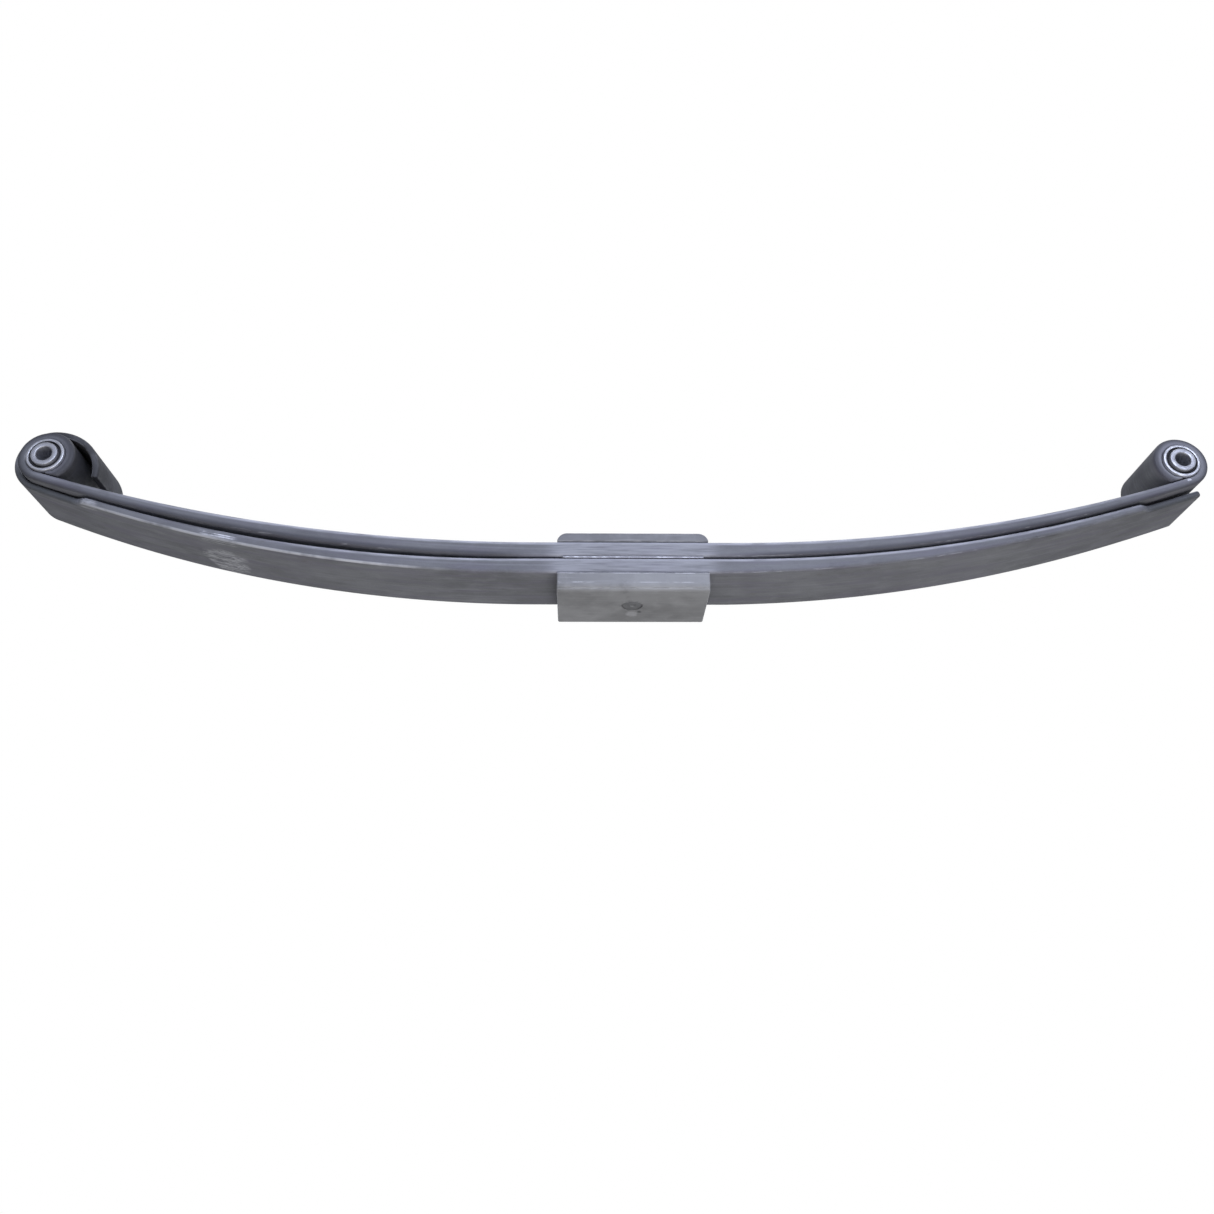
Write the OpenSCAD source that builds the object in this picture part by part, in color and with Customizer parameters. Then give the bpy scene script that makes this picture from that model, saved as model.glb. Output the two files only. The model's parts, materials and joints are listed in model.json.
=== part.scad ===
// Two-leaf parabolic spring for a light truck axle, eyes turned up.
// X runs along the spring, Y across its width and Z up.
// The origin is on the lower face of the axle pad, on the axis of the centre bolt.

/* [Leaves] */
// Width of both leaves
leaf_w = 80; // [70:1:100]
// Thickness of each leaf between the clamp plates
leaf_t = 17; // [14:0.5:20]
// Thickness of the main leaf where it rolls into an eye
main_tip_t = 9.5; // [8:0.5:12]
// Thickness of the second leaf at its ends
second_tip_t = 7; // [6:0.5:9]
// Length from the centre bolt to the left eye
left_arm = 611; // [560:1:700]
// Length from the centre bolt to the right eye
right_arm = 589; // [560:1:700]
// Height of the eye centres above the flat top of the main leaf
eye_rise = 99; // [80:1:130]
// Half length of the flat seat in the middle of the leaves
flat_half = 100; // [90:1:120]

/* [Second leaf] */
// Widest gap between the leaves of the left arm, beyond the liner's thickness
left_bow = 3.5; // [0.5:0.1:5]
// Widest gap between the leaves of the right arm, beyond the liner's thickness
right_bow = 0.8; // [0.5:0.1:5]
// Gap between the left eye and the wrapped end
wrap_gap = 0.6; // [0.4:0.1:1.5]
// Gap between the right eye and the straight end
right_tip_gap = 4; // [1:0.5:6]
// How far the straight end runs, as a share of the way to the right eye
right_reach = 1.01; // [1:0.005:1.02]
// Width of the ends, which are narrowed on their -Y edge only
end_w = 70; // [60:1:76]
// Distance from the centre bolt to the start of the left narrowing
left_step = 561; // [540:1:570]
// Distance from the centre bolt to the start of the right narrowing
right_step = 534; // [520:1:545]
// Mean radius of the open part of the wrap, past the top of the eye
wrap_open_r = 49; // [42:1:52]
// How far the wrap's end runs below the centre of its open part, in degrees
wrap_end_angle = 3; // [0:1:15]

/* [Eyes and bushes] */
// Bore radius of the rolled eyes
eye_r = 19.5; // [18:0.5:22]
// Clearance between the rolled end of an eye and the leaf below it
roll_gap = 0.8; // [0.5:0.1:1.5]
// Wall of the outer bush shell
shell_t = 3; // [2:0.5:4]
// Length of the outer bush shell
shell_l = 84; // [82:1:90]
// Length of the rubber ring
rubber_l = 80; // [70:1:82]
// Outer radius of the inner sleeve
sleeve_r = 13.5; // [12:0.5:14]
// Bore radius of the inner sleeve, for an M16 bolt
sleeve_bore_r = 8.2; // [8.1:0.1:9]
// Length of the inner sleeve
sleeve_l = 89; // [86:1:96]

/* [Clamp plates] */
// Length of the axle pad
pad_l = 154; // [140:1:170]
// Width of the axle pad
pad_w = 82; // [80:1:100]
// Thickness of the axle pad
pad_t = 19; // [14:0.5:24]
// Corner radius of the axle pad
pad_corner = 2; // [1:0.5:10]
// Length of the top plate
top_l = 154; // [140:1:170]
// Thickness of the top plate
top_t = 10; // [8:0.5:12]
// Length of the liner between the leaves
liner_l = 142; // [130:1:150]
// Thickness of the liner
liner_t = 1.5; // [1:0.5:3]

/* [Centre bolt] */
// Shank radius
bolt_r = 7; // [6:0.5:8]
// Radius of the round head
head_r = 10.5; // [9.5:0.5:12]
// Height of the round head
head_h = 7.5; // [6:0.5:8]
// Depth of the head below the face of the pad
head_recess = 1.5; // [1:0.5:2]
// Width of the nut across its flats
nut_flats = 22; // [20:1:24]
// Height of the nut
nut_h = 10.5; // [8:0.5:11]
// Thickness of the washer
washer_t = 2.5; // [2:0.5:3]

/* [Tip pads] */
// Radius of the round pads that keep the leaf ends apart
tip_pad_r = 16; // [12:1:20]
// Depth of the pocket that holds a pad in the second leaf
tip_pocket = 2.5; // [2:0.5:3]

/* [Hidden] */
$fn = 96;
ARM_STEPS = 30;
CUT = 0.5;
BOLT_CLEARANCE = 0.25;
BUSH_CLEARANCE = 0.05;
PAD_CLEARANCE = 0.5;
JOIN = 0.5;
WRAP_STEPS = 20;
NARROWING = 12;
TIP_PLACE = 0.8;
ROLL_END = 9;
ROLL_BLUNT = 2.2;
ROLL_REACH = 40;
THREAD_END = 1.5;

LEFT = -1;
RIGHT = 1;
second_z = pad_t;
main_z = second_z + leaf_t + liner_t;
top_z = main_z + leaf_t;
eye_z = top_z + eye_rise;
nut_z = top_z + top_t + washer_t;
eye_outer_r = eye_r + main_tip_t;
wrap_r = eye_outer_r + wrap_gap;
wrap_open_z = wrap_r - (wrap_open_r - second_tip_t / 2);

// Each arm's upper face is an arc that leaves the flat seat level and meets the eye's bore tangentially.
function arm_len(side) = side == LEFT ? left_arm : right_arm;
function run(side) = arm_len(side) - flat_half;
function arc_r(side) =
    (run(side) ^ 2 + eye_rise ^ 2 - eye_r ^ 2) / (2 * (eye_rise - eye_r));
function arc_end(side) = asin(run(side) / (arc_r(side) - eye_r));

// A point of an arm: u runs from 0 at the seat to 1 at the eye, depth is measured down from the upper face.
function arm_point(side, u, depth) =
    let (a = u * arc_end(side), r = arc_r(side))
    [side * (flat_half + (r + depth) * sin(a)), top_z + r - (r + depth) * cos(a)];

function main_t(u) = leaf_t - (leaf_t - main_tip_t) * u ^ 1.5;
function second_t(u) = leaf_t - (leaf_t - second_tip_t) * u;
function bow(side) = side == LEFT ? left_bow : right_bow;
function end_gap(side) = side == LEFT ? wrap_gap : right_tip_gap;
function leaf_gap(side, u) =
    liner_t + (end_gap(side) - liner_t) * u ^ 6 + bow(side) * sin(180 * u);
function second_top(side, u) = main_t(u) + leaf_gap(side, u);
function second_bottom(side, u) = second_top(side, u) + second_t(u);

outward = [for (i = [0:ARM_STEPS]) i / ARM_STEPS];
inward = [for (i = [ARM_STEPS:-1:0]) i / ARM_STEPS];
straight_end = [for (u = outward) u * right_reach];
straight_back = [for (u = inward) u * right_reach];

main_outline = concat(
    [for (u = inward) arm_point(LEFT, u, 0)],
    [for (u = outward) arm_point(RIGHT, u, 0)],
    [for (u = inward) arm_point(RIGHT, u, main_t(u))],
    [for (u = outward) arm_point(LEFT, u, main_t(u))]);

// Points of an arc about the left eye's centre, or about a point above or below it.
function wrap_arc(centre_z, r, from, to) =
    [for (i = [0:WRAP_STEPS - 1])
        let (a = from + (to - from) * i / WRAP_STEPS)
        [r * cos(a) - left_arm, eye_z + centre_z + r * sin(a)]];

// The wrap hugs the eye up to its top and then opens into a wider arc.
wrap_open_inner_r = wrap_r - wrap_open_z;
wrap_foot = 270 - arc_end(LEFT);
wrap_inner = concat(
    wrap_arc(wrap_open_z, wrap_open_inner_r, -wrap_end_angle, 90),
    wrap_arc(0, wrap_r, 90, wrap_foot));
wrap_outer = concat(
    wrap_arc(0, wrap_r + second_tip_t, wrap_foot, 90),
    wrap_arc(wrap_open_z, wrap_open_inner_r + second_tip_t, 90, -wrap_end_angle),
    [[(wrap_open_inner_r + second_tip_t) * cos(wrap_end_angle) - left_arm,
        eye_z + wrap_open_z - (wrap_open_inner_r + second_tip_t) * sin(wrap_end_angle)]]);

second_outline = concat(
    wrap_inner,
    [for (u = inward) arm_point(LEFT, u, second_top(LEFT, u))],
    [for (u = straight_end) arm_point(RIGHT, u, second_top(RIGHT, u))],
    [for (u = straight_back) arm_point(RIGHT, u, second_bottom(RIGHT, u))],
    [for (i = [0:ARM_STEPS - 1]) arm_point(LEFT, outward[i], second_bottom(LEFT, outward[i]))],
    wrap_outer);

// Extrudes a side view (X, Z) evenly about the middle of the spring's width.
module across(w) {
    rotate([90, 0, 0])
        linear_extrude(height = w, center = true)
            children();
}

// A round bar along Y through the centre of one eye.
module eye_bar(side, r, l) {
    translate([side * arm_len(side), 0, eye_z])
        rotate([90, 0, 0])
            cylinder(r = r, h = l, center = true);
}

module bush_tube(side, outer_r, inner_r, l) {
    difference() {
        eye_bar(side, outer_r, l);
        eye_bar(side, inner_r, l + 2 * CUT);
    }
}

module bolt_hole() {
    cylinder(r = bolt_r + BOLT_CLEARANCE, h = nut_z);
}

// The slit below the rolled end of an eye, which is cut blunt where it would run out to a knife edge.
module roll_slit(side) {
    translate([side * arm_len(side), 0, eye_z])
        mirror([side == LEFT ? 0 : 1, 0, 0])
            rotate([0, arc_end(side), 0])
                translate([JOIN, -leaf_w, -eye_outer_r - CUT]) {
                    cube([ROLL_REACH, 2 * leaf_w, main_tip_t + CUT + roll_gap]);
                    cube([ROLL_END, 2 * leaf_w, main_tip_t + CUT + ROLL_BLUNT]);
                }
}

module rolled_eye(side) {
    difference() {
        eye_bar(side, eye_outer_r, leaf_w);
        roll_slit(side);
    }
}

module main_leaf() {
    color("#62646c")
        difference() {
            union() {
                across(leaf_w)
                    polygon(main_outline);
                rolled_eye(LEFT);
                rolled_eye(RIGHT);
            }
            eye_bar(LEFT, eye_r, leaf_w + 2 * CUT);
            eye_bar(RIGHT, eye_r, leaf_w + 2 * CUT);
            bolt_hole();
        }
}

// Trims the -Y edge of one end of the second leaf down to the narrow width.
module narrowing(side, start) {
    linear_extrude(height = eye_z - eye_outer_r)
        polygon([
            [side * start, -leaf_w / 2 - CUT],
            [side * (start + NARROWING), leaf_w / 2 - end_w],
            [side * 2 * start, leaf_w / 2 - end_w],
            [side * 2 * start, -leaf_w]]);
}

// Trims the -Y edge of the wrap, which is as narrow as the end that it grows from.
module wrap_side() {
    translate([-left_arm, -end_w, 1.5 * eye_z - eye_outer_r - CUT])
        cube([3 * wrap_open_r, leaf_w, eye_z], center = true);
}

module tip_pocket_cut(side) {
    translate_to_tip(side, second_top(side, TIP_PLACE) + tip_pocket)
        cylinder(r = tip_pad_r + BOLT_CLEARANCE, h = 3 * tip_pocket);
}

// Moves a piece to the place of a tip pad, with its own Z square to the arm.
module translate_to_tip(side, depth) {
    place = arm_point(side, TIP_PLACE, depth);
    translate([place[0], 0, place[1]])
        rotate([0, -side * TIP_PLACE * arc_end(side), 0])
            children();
}

module second_leaf() {
    color("#62646c")
        difference() {
            across(leaf_w)
                polygon(second_outline);
            narrowing(LEFT, left_step);
            narrowing(RIGHT, right_step);
            wrap_side();
            tip_pocket_cut(LEFT);
            tip_pocket_cut(RIGHT);
            bolt_hole();
        }
}

module centre_liner() {
    color("#c9c9cf")
        difference() {
            translate([-liner_l / 2, -leaf_w / 2, second_z + leaf_t])
                cube([liner_l, leaf_w, liner_t]);
            bolt_hole();
        }
}

// Plate with quarter-round ends on top of the leaves.
module top_plate() {
    round_end = [for (a = [0:15:90]) [top_l / 2 - top_t * (1 - cos(a)), top_z + top_t * sin(a)]];
    other_end = [for (i = [len(round_end) - 1:-1:0]) [-round_end[i][0], round_end[i][1]]];
    color("#7b7c84")
        difference() {
            across(leaf_w)
                polygon(concat(round_end, other_end));
            bolt_hole();
        }
}

module axle_pad() {
    color("#8d8e94")
        difference() {
            linear_extrude(height = pad_t)
                difference() {
                    square([pad_l, pad_w], center = true);
                    for (x = [-1, 1], y = [-1, 1])
                        translate([x * pad_l / 2, y * pad_w / 2])
                            pad_corner_cut(x, y);
                }
            translate([0, 0, -CUT])
                cylinder(r = head_r + BOLT_CLEARANCE, h = head_recess + head_h + CUT);
            bolt_hole();
        }
}

// What a rounded corner takes off a square one.
module pad_corner_cut(x, y) {
    difference() {
        square(2 * pad_corner, center = true);
        translate([-x * pad_corner, -y * pad_corner])
            circle(r = pad_corner);
    }
}

module centre_bolt() {
    bolt_top = nut_z + nut_h + THREAD_END;
    color("#54565c") {
        translate([0, 0, head_recess])
            cylinder(r = head_r, h = head_h);
        translate([0, 0, head_recess])
            cylinder(r = bolt_r, h = bolt_top - head_recess);
    }
}

module centre_washer() {
    color("#54565c")
        translate([0, 0, top_z + top_t])
            difference() {
                cylinder(r = nut_flats * 0.68, h = washer_t);
                translate([0, 0, -CUT])
                    cylinder(r = bolt_r + BOLT_CLEARANCE, h = washer_t + 2 * CUT);
            }
}

module centre_nut() {
    color("#54565c")
        translate([0, 0, nut_z])
            difference() {
                cylinder(r = nut_flats / 2 / cos(30), h = nut_h, $fn = 6);
                translate([0, 0, -CUT])
                    cylinder(r = bolt_r, h = nut_h + 2 * CUT);
            }
}

module tip_pad(side) {
    color("#3a3a3c")
        translate_to_tip(side, second_top(side, TIP_PLACE) + tip_pocket)
            cylinder(r = tip_pad_r, h = tip_pocket + leaf_gap(side, TIP_PLACE) - PAD_CLEARANCE);
}

module left_tip_pad() {
    tip_pad(LEFT);
}

module right_tip_pad() {
    tip_pad(RIGHT);
}

module bush_shell(side) {
    color("#c4c6ce")
        bush_tube(side, eye_r - BUSH_CLEARANCE, eye_r - shell_t, shell_l);
}

module bush_rubber(side) {
    color("#2b2b2e")
        bush_tube(side, eye_r - shell_t, sleeve_r + BUSH_CLEARANCE, rubber_l);
}

module bush_sleeve(side) {
    color("#b4b7c0")
        bush_tube(side, sleeve_r, sleeve_bore_r, sleeve_l);
}

module left_bush_shell() {
    bush_shell(LEFT);
}

module left_bush_rubber() {
    bush_rubber(LEFT);
}

module left_bush_sleeve() {
    bush_sleeve(LEFT);
}

module right_bush_shell() {
    bush_shell(RIGHT);
}

module right_bush_rubber() {
    bush_rubber(RIGHT);
}

module right_bush_sleeve() {
    bush_sleeve(RIGHT);
}

main_leaf();
second_leaf();
centre_liner();
top_plate();
axle_pad();
centre_bolt();
centre_washer();
centre_nut();
left_tip_pad();
right_tip_pad();
left_bush_shell();
left_bush_rubber();
left_bush_sleeve();
right_bush_shell();
right_bush_rubber();
right_bush_sleeve();
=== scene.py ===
import json
import math

import bmesh
import bpy
import numpy as np
from mathutils import Matrix, Vector


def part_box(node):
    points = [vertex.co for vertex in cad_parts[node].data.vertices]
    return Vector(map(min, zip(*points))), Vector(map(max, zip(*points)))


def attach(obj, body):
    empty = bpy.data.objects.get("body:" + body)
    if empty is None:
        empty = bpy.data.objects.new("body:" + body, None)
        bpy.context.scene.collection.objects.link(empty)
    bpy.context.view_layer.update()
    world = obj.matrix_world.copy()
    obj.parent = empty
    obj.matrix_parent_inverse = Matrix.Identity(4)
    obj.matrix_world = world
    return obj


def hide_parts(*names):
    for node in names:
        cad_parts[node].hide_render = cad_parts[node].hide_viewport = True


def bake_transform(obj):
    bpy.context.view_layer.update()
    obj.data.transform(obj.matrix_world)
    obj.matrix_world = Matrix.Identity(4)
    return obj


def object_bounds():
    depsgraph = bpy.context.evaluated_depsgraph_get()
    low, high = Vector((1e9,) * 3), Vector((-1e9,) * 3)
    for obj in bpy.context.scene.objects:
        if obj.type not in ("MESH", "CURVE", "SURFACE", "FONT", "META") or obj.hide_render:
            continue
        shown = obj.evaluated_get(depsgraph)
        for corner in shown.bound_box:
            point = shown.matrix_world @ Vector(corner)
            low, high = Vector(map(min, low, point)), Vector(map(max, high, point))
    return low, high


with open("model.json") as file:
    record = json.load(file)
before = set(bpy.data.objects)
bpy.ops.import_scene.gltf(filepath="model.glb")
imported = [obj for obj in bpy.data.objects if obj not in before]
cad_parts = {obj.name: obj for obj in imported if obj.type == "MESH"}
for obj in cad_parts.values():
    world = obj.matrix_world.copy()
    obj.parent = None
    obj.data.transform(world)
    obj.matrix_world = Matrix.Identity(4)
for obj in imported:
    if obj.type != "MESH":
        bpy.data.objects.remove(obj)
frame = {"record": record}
cad_low, cad_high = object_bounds()
mounts = {m["name"]: m for m in frame["record"]["mounts"]}

# ---------------------------------------------------------------- sizes, in metres
LEFT, RIGHT = -1, 1
SIDES = (LEFT, RIGHT)
SIDE_NAME = {LEFT: "left", RIGHT: "right"}
EYE = {s: mounts[SIDE_NAME[s] + "_bush_bore"]["pos_m"] for s in SIDES}
ARM = {s: abs(EYE[s][0]) for s in SIDES}
EYE_Z = EYE[LEFT][2]
LEAF_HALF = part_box("main_leaf")[1][1]
TOP_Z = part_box("top_plate")[0][2]
EYE_RISE = EYE_Z - TOP_Z

FLAT_HALF = 0.100
LEAF_T, MAIN_TIP_T, SECOND_TIP_T = 0.017, 0.0095, 0.007
LINER_T = 0.0015
EYE_R = 0.0195
# the gap that the leaves' bow adds in mid-arm, the gap at the arm's end, and how far along the arm's arc
# the second leaf goes, where 1 is the end of the arc
BOW = {LEFT: 0.0035, RIGHT: 0.0008}
END_GAP = {LEFT: 0.0006, RIGHT: 0.004}
REACH = {LEFT: 1.0, RIGHT: 1.01}
# where the second leaf's ends are narrowed, and to what half width
STEP = {LEFT: 0.561, RIGHT: 0.534}
NARROWING = 0.012
END_HALF = 0.035
STEP_SOFTENING = 0.0009
# the open part of the wrap
WRAP_OPEN_R = 0.049
WRAP_END = math.radians(3)
# the slit under the rolled end of an eye
ROLL_SLIT_DEPTH = 0.0187
ROLL_SLIT_START_DEG = 285
ROLL_END_DEG = 28.3
SLIT_SHARPNESS = 3000

CORNER_R = 0.0034
CORNER_STEPS = 6
END_STEPS = 4

# centre bolt, tip pads and bushes
SHANK_R, HEAD_R, HEAD_TOP, HEAD_EDGE_R = 0.007, 0.0105, 0.009, 0.0012
HOLE_GAP, PRESS_GAP = 0.00025, 0.00005
THREAD_PITCH, THREAD_DEPTH, THREAD_START = 0.0015, 0.0009, 0.006
TIP_PLACE = 0.8
TIP_PAD_R = 0.016
SHELL_IN_R, SLEEVE_R, SLEEVE_BORE_R = 0.0165, 0.0135, 0.0082


def arc_r(side):
    """Radius of an arm's upper face, which meets the eye's bore tangentially."""
    run = ARM[side] - FLAT_HALF
    return (run**2 + EYE_RISE**2 - EYE_R**2) / (2 * (EYE_RISE - EYE_R))


def arc_end(side):
    return math.asin((ARM[side] - FLAT_HALF) / (arc_r(side) - EYE_R))


def main_t(u):
    return LEAF_T - (LEAF_T - MAIN_TIP_T) * u**1.5


def second_t(u):
    return LEAF_T - (LEAF_T - SECOND_TIP_T) * u


def leaf_gap(side, u):
    return LINER_T + (END_GAP[side] - LINER_T) * u**6 + BOW[side] * math.sin(math.pi * u)


# ---------------------------------------------------------------- mesh helpers
def make_object(name, verts, faces, flat=(), attributes=None, sharp_deg=32):
    """A closed mesh with its normals outward, smooth except on the flat faces and over sharp edges."""
    mesh = bpy.data.meshes.new(name)
    mesh.from_pydata([tuple(v) for v in verts], [], faces)
    mesh.polygons.foreach_set("use_smooth", [i not in flat for i in range(len(faces))])
    for key, values in (attributes or {}).items():
        values = np.asarray(values, np.float32)
        kind, field = ("FLOAT", "value") if values.ndim == 1 else ("FLOAT_VECTOR", "vector")
        mesh.attributes.new(key, kind, "POINT").data.foreach_set(field, values.ravel())
    bm = bmesh.new()
    bm.from_mesh(mesh)
    bmesh.ops.recalc_face_normals(bm, faces=bm.faces)
    for edge in bm.edges:
        if len(edge.link_faces) == 2 and edge.calc_face_angle(0) > math.radians(sharp_deg):
            edge.smooth = False
    bm.to_mesh(mesh)
    bm.free()
    obj = bpy.data.objects.new(name, mesh)
    bpy.context.scene.collection.objects.link(obj)
    return obj


def ring_faces(loops, points, closed):
    """Quads between successive loops of points, and from the last loop back to the first when closed."""
    return [(i * points + j, i * points + (j + 1) % points,
             (i + 1) % loops * points + (j + 1) % points, (i + 1) % loops * points + j)
            for i in range(loops if closed else loops - 1) for j in range(points)]


def end_faces(loops, points):
    return [tuple(range(points)), tuple(range((loops - 1) * points, loops * points))]


def section(half, t, corner, inset=0.0):
    """A rounded bar section as (y, depth, wear) points. Depth is measured from the upper face."""
    w, d0, d1 = half - inset, inset, t - inset
    r = max(min(corner - inset * 0.5, 0.42 * (d1 - d0)), 0.0001)
    strip = min(0.0004, (d1 - d0 - 2 * r) / 4)
    mid = (d0 + d1) / 2
    upper_near, upper_far, lower, beside = 0.55, 0.5, 0.42, 0.1

    def arc(cy, cd, start, worn):
        out = []
        for k in range(CORNER_STEPS + 1):
            a = start + math.pi / 2 * k / CORNER_STEPS
            amount = worn * math.sin(math.pi * k / CORNER_STEPS)
            out.append((cy + r * math.cos(a), cd + r * math.sin(a), amount))
        return out

    inner = [(w - r - strip) * f for f in (-1, -0.8, -0.5, -0.17, 0.17, 0.5, 0.8, 1)]
    ring = [(-w, mid, 0), (-w, d0 + r + strip, beside)]
    ring += arc(-w + r, d0 + r, math.pi, upper_near)
    ring += [(y, d0, 0) for y in inner]
    ring += arc(w - r, d0 + r, 1.5 * math.pi, upper_far)
    ring += [(w, d0 + r + strip, beside), (w, mid, 0), (w, d1 - r - strip, beside)]
    ring += arc(w - r, d1 - r, 0, lower)
    ring += [(y, d1, 0) for y in reversed(inner)]
    ring += arc(-w + r, d1 - r, math.pi / 2, lower)
    ring += [(-w, d1 - r - strip, beside)]
    return ring


def rounded_end(station, ahead, end_round, steps):
    """Stations that carry a bar's end on round its edge, each with how far its section is inset."""
    (x, z), normal, t, half, run = station
    out = []
    for k in steps:
        a = math.pi / 2 * k / END_STEPS
        step, inset = end_round * math.sin(a), end_round * (1 - math.cos(a))
        point = (x + ahead[0] * step, z + ahead[1] * step)
        out.append(((point, normal, t, half, run + math.copysign(step, run)), inset))
    return out


def sweep(name, stations, corner=CORNER_R, end_round=0.0012, both_ends=False):
    """A bar along stations of (x, z) on the upper face, downward normal, thickness, half width and run.

    Its +Y edge stays straight, so a narrower station only brings in the -Y edge.
    """
    end_wear = 0.3

    def direction(a, b):
        d = np.subtract(b[0], a[0])
        return d / np.linalg.norm(d)

    rings = []
    if both_ends:
        rings += rounded_end(stations[0], direction(stations[1], stations[0]), end_round, (4, 3, 2, 1))
    rings += [(s, 0.0) for s in stations]
    rings += rounded_end(stations[-1], direction(stations[-2], stations[-1]), end_round, (1, 2, 3, 4))
    verts, bar, wear = [], [], []
    for ((x, z), (nx, nz), t, half, run), inset in rings:
        for y, d, worn in section(half, t, corner, inset):
            y += LEAF_HALF - half
            verts.append((x + nx * d, y, z + nz * d))
            bar.append((run, y, d))
            wear.append(max(worn, end_wear if inset else 0))
    points = len(verts) // len(rings)
    faces = ring_faces(len(rings), points, closed=False) + end_faces(len(rings), points)
    flat = {len(faces) - 1, len(faces) - 2}
    return make_object(name, verts, faces, flat, {"bar": bar, "wear": wear})


def revolve(name, profile, centre, axis, segments=96, closed=True, radius_at=None):
    """Turns a profile of (radius, height) points about an axis through centre, as a ring or a capped body."""
    across = Vector((1, 0, 0))
    over, up = Vector((0, 1, 0)), Vector((0, 0, 1))
    if axis == "Y":
        over, up = up, over
    verts, lathe = [], []
    for r, h in profile:
        for j in range(segments):
            a = 2 * math.pi * j / segments
            rr = radius_at(r, h, a) if radius_at else r
            verts.append(Vector(centre) + across * (rr * math.cos(a)) + over * (rr * math.sin(a)) + up * h)
            lathe.append((rr, h, 0.0))
    faces = ring_faces(len(profile), segments, closed)
    flat = set()
    if not closed:
        faces += end_faces(len(profile), segments)
        flat = {len(faces) - 1, len(faces) - 2}
    return make_object(name, verts, faces, flat, {"lathe": lathe})


def rounded_edge(r_corner, h_corner, radius, towards_r, towards_h, steps=4):
    """Points of a small round between a face and a wall: from the wall's side to the face's side."""
    cr, ch = r_corner + towards_r * radius, h_corner + towards_h * radius
    return [(cr - towards_r * radius * math.cos(a), ch - towards_h * radius * math.sin(a))
            for a in (math.pi / 2 * k / steps for k in range(steps + 1))]


def add(obj, material, nodes, body=None, bend=None):
    """Gives a piece its finish and its place in the frame: it rides on a body, or, as a piece of an arm, has
    its transform baked into its mesh.
    """
    obj.data.materials.append(material)
    if bend is None:
        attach(obj, body)
    else:
        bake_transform(obj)
    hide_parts(*nodes)


# ---------------------------------------------------------------- stations along the leaves
def flat_stations(side, z):
    return [((side * x, z), (0.0, -1.0), LEAF_T, LEAF_HALF, side * x)
            for x in np.linspace(0, FLAT_HALF, 9)[:-1]]


def arm_station(side, u, depth, t, half):
    r, a = arc_r(side), u * arc_end(side)
    x = side * (FLAT_HALF + (r + depth) * math.sin(a))
    z = TOP_Z + r - (r + depth) * math.cos(a)
    return (x, z), (side * math.sin(a), -math.cos(a)), t, half, side * (FLAT_HALF + r * a)


def rolled_t(deg):
    """Thickness of an eye's roll, which the slit thins smoothly near its end."""
    if deg <= ROLL_SLIT_START_DEG:
        return MAIN_TIP_T
    cut = ROLL_SLIT_DEPTH / math.cos(math.radians(360 - deg)) - EYE_R
    both = math.exp(-MAIN_TIP_T * SLIT_SHARPNESS) + math.exp(-cut * SLIT_SHARPNESS)
    return -math.log(both) / SLIT_SHARPNESS


def main_stations(side):
    out = flat_stations(side, TOP_Z)
    out += [arm_station(side, u, 0, main_t(u), LEAF_HALF) for u in np.linspace(0, 1, 92)]
    start, foot = abs(out[-1][4]), arc_end(side)
    for deg in np.arange(3, 360 - ROLL_END_DEG, 3):
        a = foot + math.radians(deg)
        normal = (side * math.sin(a), -math.cos(a))
        t = rolled_t(deg)
        point = (side * ARM[side] + EYE_R * normal[0], EYE_Z + EYE_R * normal[1])
        out.append((point, normal, t, LEAF_HALF, side * (start + (EYE_R + t / 2) * math.radians(deg))))
    return out


def second_half_width(side, x):
    """Half the leaf's width at a distance from the bolt, with the corners of its step softened."""
    total = 0.0
    for k in range(-3, 4):
        f = min(max((abs(x) + k * STEP_SOFTENING - STEP[side]) / NARROWING, 0), 1)
        total += LEAF_HALF + (END_HALF - LEAF_HALF) * f
    return total / 7


def wrap_stations(last):
    """The wrap: it hugs the left eye up to its top, and then opens into a wider arc."""
    hug_r = EYE_R + MAIN_TIP_T + END_GAP[LEFT]
    rise = hug_r - (WRAP_OPEN_R - SECOND_TIP_T / 2)
    hugging = list(np.arange(arc_end(LEFT) + 0.05, math.pi, 0.05))
    opening = list(np.linspace(math.pi, 1.5 * math.pi + WRAP_END, 46))
    run, out = abs(last[4]), [last]
    for a in hugging + opening:
        r, centre = (hug_r - rise, EYE_Z + rise) if a >= math.pi else (hug_r, EYE_Z)
        normal = (-math.sin(a), -math.cos(a))
        point = (-ARM[LEFT] + r * normal[0], centre + r * normal[1])
        run += math.dist(point, out[-1][0])
        out.append((point, normal, SECOND_TIP_T, END_HALF, -run))
    return out[1:]


def second_stations(side):
    out = flat_stations(side, TOP_Z - LEAF_T - LINER_T)
    step_u = (STEP[side] - FLAT_HALF) / (ARM[side] - FLAT_HALF)
    places = np.concatenate([np.linspace(0, REACH[side], 92), np.linspace(step_u - 0.012, step_u + 0.04, 24)])
    for u in np.unique(places):
        station = arm_station(side, u, main_t(u) + leaf_gap(side, u), second_t(u), LEAF_HALF)
        out.append(station[:3] + (second_half_width(side, station[0][0]),) + station[4:])
    if side == LEFT:
        out += wrap_stations(out[-1])
    return out


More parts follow.
